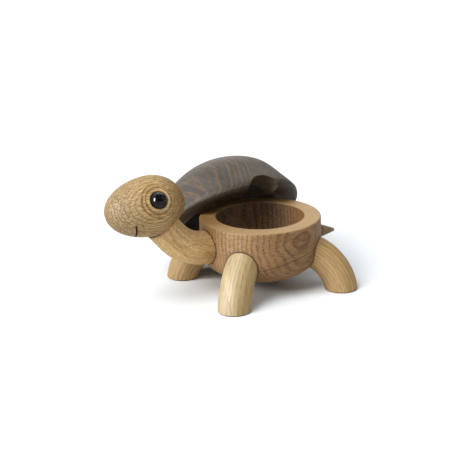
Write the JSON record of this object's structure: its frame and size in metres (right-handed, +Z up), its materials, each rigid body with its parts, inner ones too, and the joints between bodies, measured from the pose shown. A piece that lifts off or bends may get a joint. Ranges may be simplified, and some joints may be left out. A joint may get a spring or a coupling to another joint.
{
  "type": "turtle figurine",
  "caption": "Wooden turtle figurine: a round bowl body on bent legs, egg-shaped head with bead eyes, and a dark domed shell that lifts off as the lid.",
  "frame": {"origin": "on the table, in the plane of the four soles, at the middle of the whole figure's footprint with the lid beside it", "axes": "+X forward, from the bowl towards the head; +Y towards the turtle's left; +Z up. The lid that is taken off lies at -Y"},
  "size_m": [0.166, 0.1368, 0.0855],
  "materials": {
    "bowl_oak": "oiled oak, growth rings in planes across the bowl",
    "leg_oak": "oiled oak, grain along the leg",
    "neck_oak": "oiled oak, grain along the neck",
    "head_oak": "oiled oak, speckled end grain at the nose",
    "tail_oak": "oiled oak, darker",
    "smoked_oak": "smoked oak, grey brown, satin",
    "eye_black": "glossy black bead",
    "dowel_beech": "plain beech dowel"
  },
  "bodies": {
    "body": {"bowl": "bowl_oak", "front_left_leg": "leg_oak", "front_right_leg": "leg_oak", "rear_left_leg": "leg_oak", "rear_right_leg": "leg_oak", "neck": "neck_oak", "tail": "tail_oak", "neck_dowel": "dowel_beech", "head_dowel": "dowel_beech", "front_left_dowel": "dowel_beech", "front_right_dowel": "dowel_beech", "rear_left_dowel": "dowel_beech", "rear_right_dowel": "dowel_beech", "tail_dowel": "dowel_beech"},
    "head": {"head": "head_oak", "left_eye": "eye_black", "right_eye": "eye_black"},
    "shell": {"shell": "smoked_oak"}
  },
  "joints": [
    {"name": "head_turn", "type": "hinge", "parent": "body", "child": "head", "pos_m": [0.04702, 0.02063, 0.05352], "axis": [0.6455, 0, 0.7638], "continuous": true},
    {"name": "shell_lift", "type": "slide", "parent": "body", "child": "shell", "axis": [0, 0, 1], "range_m": [0, 0.12]}
  ]
}
